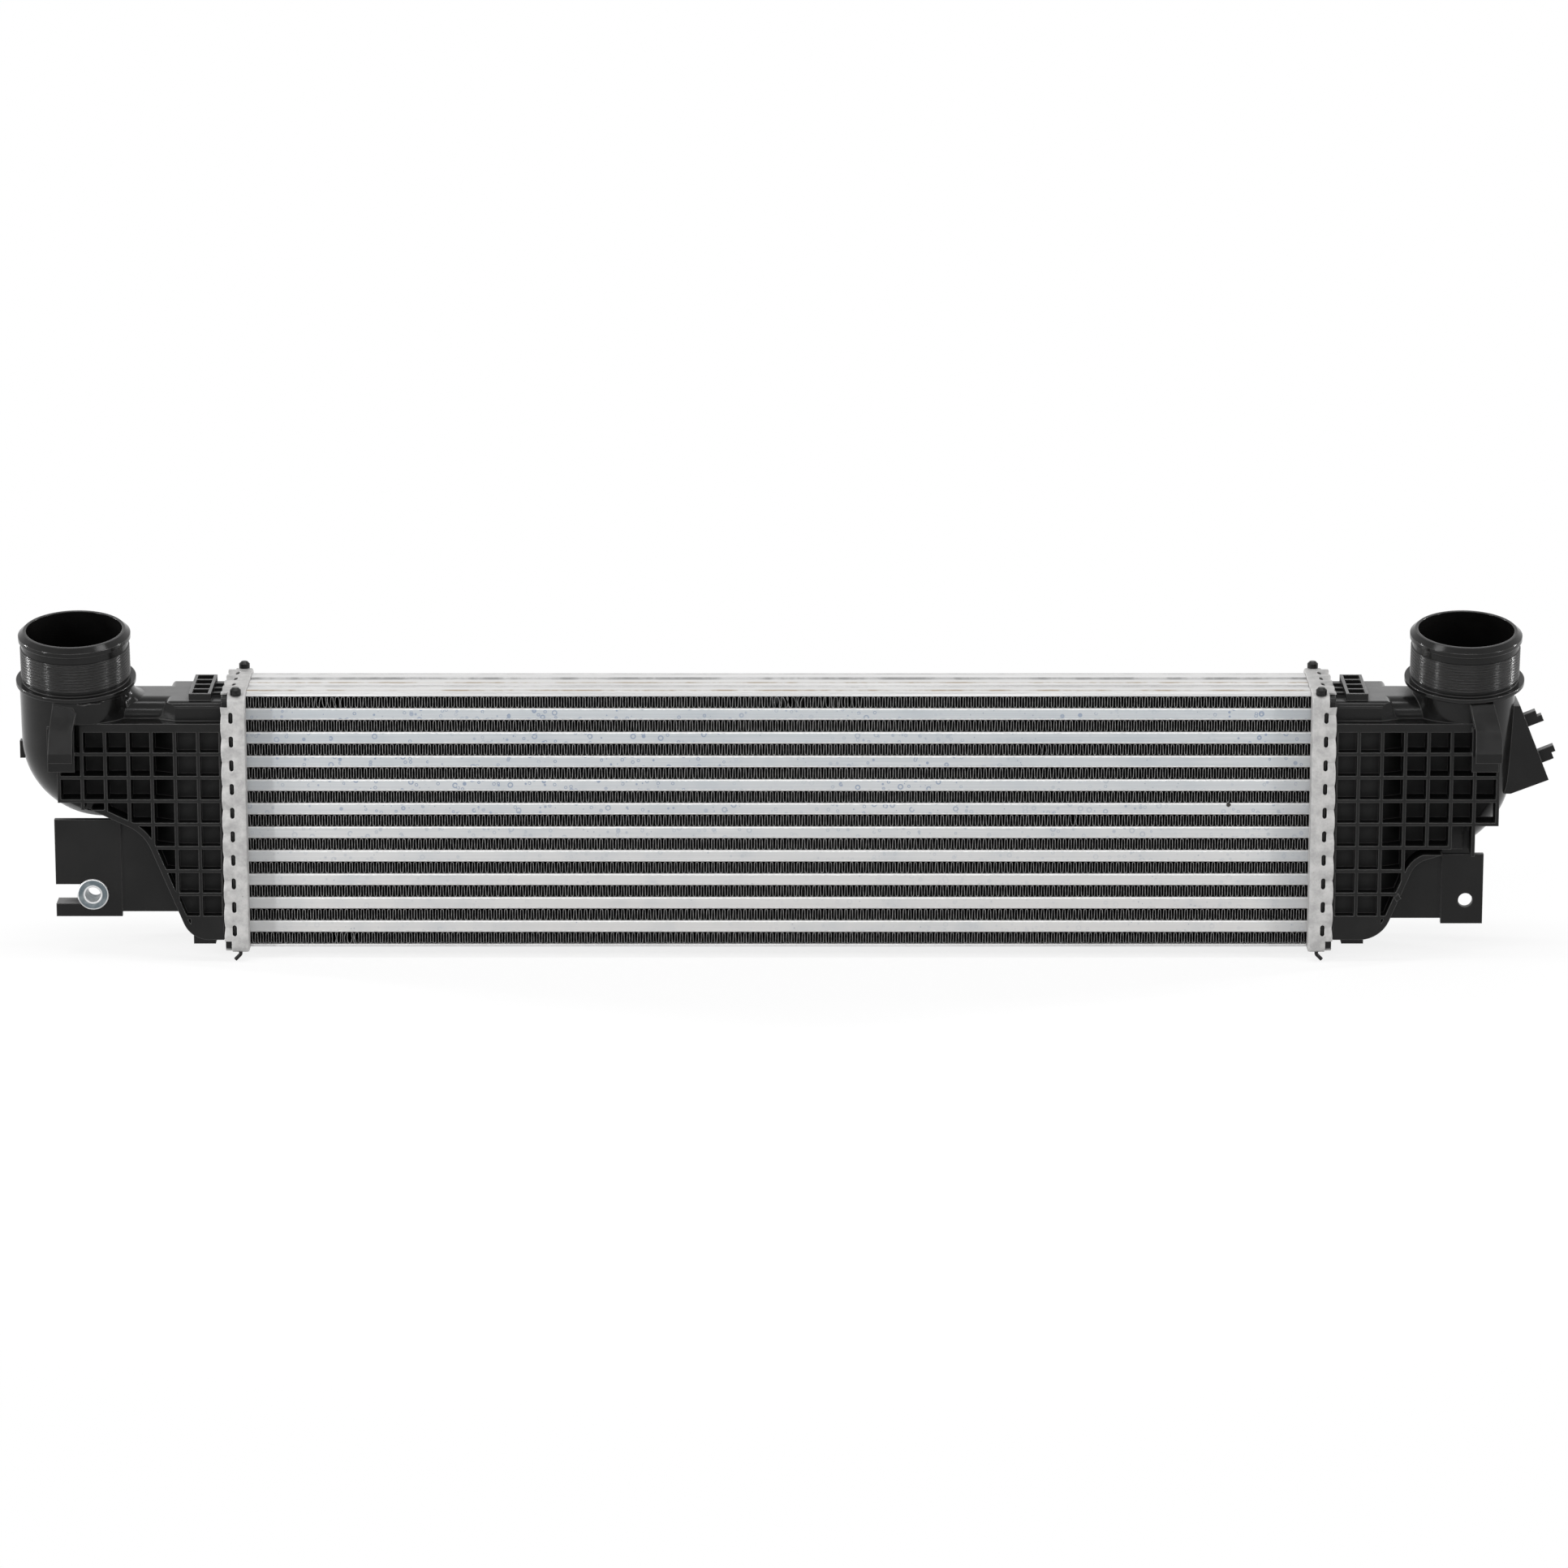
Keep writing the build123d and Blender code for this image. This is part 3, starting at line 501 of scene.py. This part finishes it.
# What a node's name holds, its material's name and how that material looks
LOOKS = (
    ("tank", "tank_plastic", moulded_plastic),
    ("header", "header_aluminium", header_aluminium),
    ("tube_", "tube_aluminium", tube_aluminium),
    ("turbulator", "tube_aluminium", tube_aluminium),
    ("fin_row", "fin_aluminium", fin_aluminium),
    ("side_plate", "side_plate_aluminium", side_plate_aluminium),
    ("gasket", "gasket_rubber", rubber),
    ("rod", "rod_steel", black_steel),
    ("sleeve", "sleeve_steel", zinc_steel),
)


def dress(thing, material):
    """Gives an object one material."""
    thing.data.materials.clear()
    thing.data.materials.append(material)


def add_mesh(name, points, faces, material):
    """A new piece of the object that rides on its one body."""
    mesh = bpy.data.meshes.new(name)
    mesh.from_pydata(points, [], faces)
    mesh.validate()
    thing = bpy.data.objects.new(name, mesh)
    scene.collection.objects.link(thing)
    dress(thing, material)
    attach(thing, "root")
    return thing


def turn_outwards(thing, weld=0.0):
    """Joins points nearer than the weld and turns all faces outwards."""
    work = bmesh.new()
    work.from_mesh(thing.data)
    if weld > 0:
        bmesh.ops.remove_doubles(work, verts=work.verts, dist=weld)
    bmesh.ops.recalc_face_normals(work, faces=work.faces)
    work.to_mesh(thing.data)
    work.free()


def smooth(thing, angle=40):
    """Smooth shading, apart from edges sharper than an angle in degrees."""
    for face in thing.data.polygons:
        face.use_smooth = True
    work = bmesh.new()
    work.from_mesh(thing.data)
    for edge in work.edges:
        if len(edge.link_faces) == 2:
            edge.smooth = edge.calc_face_angle(0) < math.radians(angle)
    work.to_mesh(thing.data)
    work.free()


def lathe(name, profile, place, material, segments=128):
    """A closed ring from a closed outline of radius and height, set by a matrix."""
    points, faces = [], []
    count = len(profile)
    for i in range(segments):
        turn = 2 * math.pi * i / segments
        for radius, height in profile:
            points.append(place @ Vector((radius * math.cos(turn), radius * math.sin(turn), height)))
    for i in range(segments):
        a, b = i * count, (i + 1) % segments * count
        for j in range(count):
            faces.append((a + j, b + j, b + (j + 1) % count, a + (j + 1) % count))
    smooth(add_mesh(name, points, faces, material))


def neck_matrix(side):
    """Puts Z along the leaning hose neck, with zero at the middle of its bead."""
    mount = mounts[f"{side}_hose_neck"]
    turn = Vector((0, 0, 1)).rotation_difference(Vector(mount["axis"])).to_matrix().to_4x4()
    return Matrix.Translation(mount["pos_m"]) @ turn


def hose_ribs(side, material):
    """Fine grip ribs round a neck, between its bead and its collar."""
    low = -HOSE_RIB_START - HOSE_RIB_COUNT * HOSE_RIB_PITCH
    inside, foot = NECK_RADIUS - HOSE_RIB_SINK, NECK_RADIUS + HOSE_RIB_FOOT
    profile = [(inside, -HOSE_RIB_START), (inside, low)]
    for i in range(HOSE_RIB_COUNT):
        start = low + i * HOSE_RIB_PITCH
        profile.append((foot, start + HOSE_RIB_GAP * HOSE_RIB_PITCH))
        for share, height in HOSE_RIB_SHAPE:
            profile.append((NECK_RADIUS + height * HOSE_RIB_HEIGHT, start + share * HOSE_RIB_PITCH))
        profile.append((foot, start + (1 - HOSE_RIB_GAP) * HOSE_RIB_PITCH))
    lathe(f"{side}_hose_ribs", profile, neck_matrix(side), material)


# One place round a header's rim: where it is, which way is out, and how the sheet is formed there
Station = namedtuple("Station", "y z out_y out_z press width notched")


def slot_outline():
    """Half the slot's width at distances along the rim from its middle."""
    straight = SLOT_HALF - SLOT_RADIUS
    crease = [CRIMP_CREASE + shift for shift in (-CREASE_HALF, 0, CREASE_HALF)]
    outline = dict.fromkeys((-straight, -SLOT_STEP, 0, SLOT_STEP, straight, *crease), SLOT_RADIUS)
    for degrees in SLOT_TURNS:
        turn = math.radians(degrees)
        for sign in (-1, 1):
            outline[sign * (straight + SLOT_RADIUS * math.sin(turn))] = SLOT_RADIUS * math.cos(turn)
    outline.update(dict.fromkeys((-SLOT_HALF, SLOT_HALF, *CRIMP_SPOTS), 0.0))
    return outline


def crimp_press(off):
    """How deep the rim is pressed in, from 0 to 1, at a distance from its deepest place."""
    return max(1 - abs(off) / CRIMP_REACH, 0) ** CRIMP_CURVE


def rim_spots(run, slots, upright):
    """Places along one side of the rim, from low to high, each with its press and half width."""
    spots = {RIM_CORNER - run: (0.0, 0.0), run - RIM_CORNER: (0.0, 0.0)}
    outline = slot_outline()
    for slot in slots:
        for along, width in outline.items():
            press = crimp_press(along - CRIMP_CREASE) if upright else CRIMP_END * crimp_press(along)
            spots[slot + along] = (press, width)
    for sign in (-1, 1):
        for shift in (-NOTCH_STEP, NOTCH_STEP):
            spots[sign * (run - NOTCH_SIZE + shift)] = (0.0, 0.0)
    return [(along, *spots[along]) for along in sorted(spots)]


def rim_stations(half_y, half_z):
    """Stations round the rim: down the front, along the bottom, up the back and along the top."""
    rows = [box[0].z + tube_height / 2 - (core_top + core_bottom) / 2 for box in tube_boxes]
    ends = [(i - 1.5) * tube_pitch for i in range(4)]
    ring = []
    for out_y, out_z in ((-1, 0), (0, -1), (1, 0), (0, 1)):
        upright = out_z == 0
        face, run, slots = (half_y, half_z, rows) if upright else (half_z, half_y, ends)
        direction = out_y - out_z
        for along, press, width in rim_spots(run, slots, upright)[::direction]:
            y, z = (out_y * face, along) if upright else (along, out_z * face)
            ring.append(Station(y, z, out_y, out_z, press, width, abs(along) > run - NOTCH_SIZE))
        middle_y = (out_y - out_z) * (half_y - RIM_CORNER)
        middle_z = (out_y + out_z) * (half_z - RIM_CORNER)
        for share in CORNER_SHARES:
            angle = math.atan2(out_z, out_y) + share * math.pi / 2
            ny, nz = math.cos(angle), math.sin(angle)
            ring.append(Station(middle_y + RIM_CORNER * ny, middle_z + RIM_CORNER * nz, ny, nz,
                                0.0, 0.0, True))
    return ring


def rim_outline(station, depth):
    """The sheet's outline at one station: distance from the tray's floor, and how far out."""
    edge = depth - (NOTCH_DEPTH if station.notched else 0) - CRIMP_DRAW * station.press
    pressed = -CRIMP_PRESS * station.press
    share = 0.5 * station.width / SLOT_RADIUS
    near, near_out = SLOT_INSET - station.width, pressed * (0.5 - share)
    far, far_out = SLOT_INSET + station.width, pressed * (0.5 + share)
    past = min(SLOT_INSET + CRIMP_FULL, edge - CRIMP_BORDER)
    inside = pressed - HEADER_SHEET
    return [
        (0, -TRAY_ROUND), (TRAY_MIDDLE, -TRAY_MIDDLE), (TRAY_ROUND, 0), (TRAY_FLAT, 0),
        (SLOT_INSET - CRIMP_START, 0), (near, near_out), (far, far_out), (past, pressed),
        ((past + edge) / 2, pressed), (edge - RIM_ROUND, pressed), (edge, pressed - RIM_ROUND),
        (edge, inside + RIM_ROUND), (edge - RIM_ROUND, inside), (past, inside),
        (far, far_out - HEADER_SHEET), (near, near_out - HEADER_SHEET), (HEADER_SHEET, -HEADER_SHEET),
    ]


def header_tray(side, material):
    """The pressed header with rounded slots and a crimped rim, in place of the plainer solid."""
    low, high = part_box(f"{side}_header")
    sign = 1 if side == "right" else -1
    floor_x = low.x if sign > 0 else high.x
    middle_y, middle_z = (low.y + high.y) / 2, (low.z + high.z) / 2
    ring = rim_stations((high.y - low.y) / 2, (high.z - low.z) / 2)
    outlines = [rim_outline(station, high.x - low.x) for station in ring]
    count = len(outlines[0])
    points, faces = [], []
    for station, outline in zip(ring, outlines):
        for x, out in outline:
            points.append((floor_x + sign * x, middle_y + station.y + station.out_y * out,
                           middle_z + station.z + station.out_z * out))
    for i, station in enumerate(ring):
        following = (i + 1) % len(ring)
        a, b = i * count, following * count
        open_here = station.width > 0 or ring[following].width > 0
        for j in range(count - 1):
            if not (open_here and j in (NEAR_OUTER, FAR_INNER)):
                faces.append((a + j, a + j + 1, b + j + 1, b + j))
        if open_here:
            faces += [(a + NEAR_OUTER, a + NEAR_INNER, b + NEAR_INNER, b + NEAR_OUTER),
                      (a + FAR_OUTER, b + FAR_OUTER, b + FAR_INNER, a + FAR_INNER)]
    faces.append(range(0, len(points), count))
    faces.append(range(count - 1, len(points), count))
    thing = add_mesh(f"{side}_header_tray", points, faces, material)
    turn_outwards(thing, WELD)
    smooth(thing, TRAY_SMOOTH)
    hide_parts(f"{side}_header")


def surface_below(tank):
    """A way to ask how high the tank's top is at a place, looking down from just over the duct."""
    points = [tank.matrix_world @ vertex.co for vertex in tank.data.vertices]
    tree = BVHTree.FromPolygons(points, [list(face.vertices) for face in tank.data.polygons])

    def height(place):
        start = Vector((place.x, place.y, DUCT_TOP + SKIRT_LOOK))
        hit = tree.ray_cast(start, Vector((0, 0, -1)), SKIRT_LOOK + SKIRT_DROP)[0]
        return None if hit is None else hit.z

    return height


def left_neck_skirt(material):
    """Rounded web between the duct's top and the side of the left neck that faces the core.

    Its reach shrinks where the tank's top falls away, so that it ends on the tank."""
    place = neck_matrix("left")
    axis = (place.to_3x3() @ Vector((0, 0, 1))).normalized()
    height = surface_below(frame["nodes"]["left_tank"])
    foot_centre = place.translation - axis * ((place.translation.z - DUCT_TOP) / axis.z)
    curves = []
    for angle in SKIRT_TURNS:
        turn = math.radians(angle)
        out = Vector((math.cos(turn), math.sin(turn), 0))
        edge = foot_centre + out * SKIRT_RADIUS
        level = height(edge + out * SKIRT_SINK)
        if level is None:
            continue
        reach = SKIRT_REACH * math.cos(turn)
        while reach > SKIRT_SINK and level - (height(edge + out * reach) or 0) > SKIRT_STEP:
            reach *= SKIRT_SHRINK
        foot = edge + out * reach
        foot.z = (height(foot) or level) - SKIRT_SINK
        corner = Vector((edge.x, edge.y, level))
        upper = edge + axis * reach - out * SKIRT_SINK
        curve = [foot * (1 - t) ** 2 + corner * 2 * t * (1 - t) + upper * t ** 2
                 for t in (i / (SKIRT_ROWS - 1) for i in range(SKIRT_ROWS))]
        curve.append(corner - (out + Vector((0, 0, 1))) * SKIRT_ROOT)
        curves.append(curve)
    count = SKIRT_ROWS + 1
    points = [point for curve in curves for point in curve]
    faces = [range(count), range(len(points) - count, len(points))]
    for a in range(0, len(points) - count, count):
        b = a + count
        for j in range(count):
            following = (j + 1) % count
            faces.append((a + j, a + following, b + following, b + j))
    thing = add_mesh("left_neck_skirt", points, faces, material)
    turn_outwards(thing)
    smooth(thing)


def right_elbow_web(material):
    """Flat web from the lattice of the right tank down to its bracket."""
    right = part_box("right_tank")[1].x - WEB_INSET
    left = right - WEB_WIDTH
    front = core_middle_y - WEB_FRONT
    outline = [(left, WEB_LOW), (right, WEB_LOW), (right, WEB_HIGH), (left, WEB_HIGH)]
    points = [(x, y, z) for y in (front, front + WEB_SHEET) for x, z in outline]
    faces = [(0, 1, 2, 3), (7, 6, 5, 4)]
    faces += [(i, i + 4, (i + 1) % 4 + 4, (i + 1) % 4) for i in range(4)]
    add_mesh("right_elbow_web", points, faces, material)


def fin_line(low, high, dice, dents):
    """Middle line of one row of fins, in X and Z, with its hand-made unevenness."""
    legs = int((high.x - low.x) / FIN_LEG_PITCH)
    half = (high.z - low.z) / 2 - FIN_SHEET / 2
    middle = (high.z + low.z) / 2
    phase = dice.uniform(0, 2 * math.pi)
    line = []
    for leg in range(legs):
        x = low.x + (leg + 0.5) * FIN_LEG_PITCH + dice.uniform(-1, 1) * FIN_JITTER
        sway = math.sin(phase + leg * FIN_SWAY) * 0.5 + 0.5
        up = 1 if leg % 2 else -1
        lean = FIN_LEAN * (1 - FIN_SWAY_SHARE * sway) + dice.uniform(-1, 1) * FIN_LEAN_JITTER
        curl = dice.uniform(-1, 1) * FIN_CURL
        for start, end, size in dents:
            if start < leg < end:
                lean += dice.uniform(-1, 1) * size
                curl += dice.uniform(-1, 1) * size * DENT_CURL
        for share in FIN_SHARES:
            bow = curl * (1 - share * share)
            fold = FIN_FOLD * share if abs(share) == 1 else 0.0
            line.append((x + lean * share / 2 + bow + fold, middle + share * up * half))
    return line


def fin_row(index, material):
    """One row of folded fins at its real pitch, in place of the coarse solid."""
    node = f"fin_row_{index:02d}"
    low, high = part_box(node)
    dice = random.Random(100 + index)
    dents = FIN_DENTS.get(index, [])
    if index % 3 == 0:
        start = dice.randrange(*DENT_RANGE)
        dents = [(start, start + DENT_LEGS, DENT_SIZE)]
    line = fin_line(low, high, dice, dents)
    points = []
    for i, (x, z) in enumerate(line):
        before, after = line[max(i - 1, 0)], line[min(i + 1, len(line) - 1)]
        run = Vector((after[0] - before[0], after[1] - before[1])).normalized()
        side = Vector((-run.y, run.x)) * FIN_SHEET / 2
        for sign in (1, -1):
            face_x = x + sign * side.x
            face_z = min(max(z + sign * side.y, low.z), high.z)
            points += [(face_x, low.y, face_z), (face_x, high.y, face_z)]
    end = len(points) - 4
    faces = [(0, 2, 3, 1), (end, end + 1, end + 3, end + 2)]
    for a in range(0, end, 4):
        b = a + 4
        faces += [(a, a + 1, b + 1, b), (a + 3, a + 2, b + 2, b + 3),
                  (a + 2, a, b, b + 2), (a + 1, a + 3, b + 3, b + 1)]
    thing = add_mesh(f"fins_{index:02d}", points, faces, material)
    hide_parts(node)


def look_from(place, target):
    """A matrix at place, looking at target."""
    turn = (target - place).to_track_quat("-Z", "Y").to_matrix().to_4x4()
    return Matrix.Translation(place) @ turn


def make_camera():
    data = bpy.data.cameras.new("photo_camera")
    data.sensor_width = SENSOR_MM
    data.lens = SENSOR_MM * FOCAL_PIXELS / PHOTO_SIZE
    data.clip_end = 50
    camera = bpy.data.objects.new("photo_camera", data)
    back = Vector((0, -math.cos(CAMERA_ELEVATION), math.sin(CAMERA_ELEVATION)))
    camera.matrix_world = look_from(CAMERA_TARGET + back * CAMERA_DISTANCE, CAMERA_TARGET)
    scene.collection.objects.link(camera)
    scene.camera = camera


def make_light(name, place, width, height, power):
    data = bpy.data.lights.new(name, "AREA")
    data.shape = "RECTANGLE"
    data.size = width
    data.size_y = height
    data.energy = power
    light = bpy.data.objects.new(name, data)
    light.matrix_world = look_from(Vector(place), LAMP_TARGET)
    scene.collection.objects.link(light)


def make_world():
    """White where the camera or a reflection sees it, and a soft even light elsewhere."""
    world = bpy.data.worlds.new("studio")
    scene.world = world
    n = Nodes(world)
    seen = n.rays("Is Camera Ray", "Is Glossy Ray", "Is Transmission Ray")
    level = n.add("ShaderNodeMapRange", None, _0=seen, _3=WORLD_LEVEL, _4=1.0).outputs[0]
    background = n.tree.nodes["Background"]
    n.feed(background.inputs["Color"], (1, 1, 1, 1))
    n.feed(background.inputs["Strength"], level)


def studio_floor(material):
    """Pale and dull, and plain white where it is seen, apart from part of the shadow."""
    n = Nodes(material)
    n.set("Base Color", grey(0.86))
    n.set("Roughness", 0.9)
    n.set("Specular IOR Level", 0.0)
    white = n.spread(n.vector("LENGTH", n.place), SHADOW_NEAR, SHADOW_FAR, WHITE_NEAR, 1.0)
    share = n.math("MULTIPLY", n.rays("Is Camera Ray", "Is Glossy Ray"), white)
    glow = n.add("ShaderNodeEmission", None, Strength=1.0).outputs[0]
    both = n.add("ShaderNodeMixShader", None, _0=share, _1=n.shader.outputs[0], _2=glow).outputs[0]
    n.feed(n.tree.nodes["Material Output"].inputs[0], both)


def make_floor():
    """Studio floor that keeps a soft shadow under the object."""
    mesh = bpy.data.meshes.new("floor")
    corners = [(x * FLOOR_REACH, y * FLOOR_REACH, 0) for x, y in ((-1, -1), (1, -1), (1, 1), (-1, 1))]
    mesh.from_pydata(corners, [], [(0, 1, 2, 3)])
    floor = bpy.data.objects.new("floor", mesh)
    floor.location.z = -FLOOR_DROP
    scene.collection.objects.link(floor)
    material = bpy.data.materials.new("studio_floor")
    studio_floor(material)
    dress(floor, material)


scene.view_settings.view_transform = "Standard"
make_camera()
make_world()
for lamp in LAMPS:
    make_light(*lamp)
make_floor()

materials = {}
for word, name, look in LOOKS:
    materials[word] = bpy.data.materials.new(name)
    look(materials[word])
for name, node in frame["nodes"].items():
    dress(node, next(material for word, material in materials.items() if word in name))

for side in ("left", "right"):
    hose_ribs(side, materials["tank"])
    header_tray(side, materials["header"])
left_neck_skirt(materials["tank"])
right_elbow_web(materials["tank"])
for index in range(1, FIN_ROWS + 1):
    fin_row(index, materials["fin_row"])
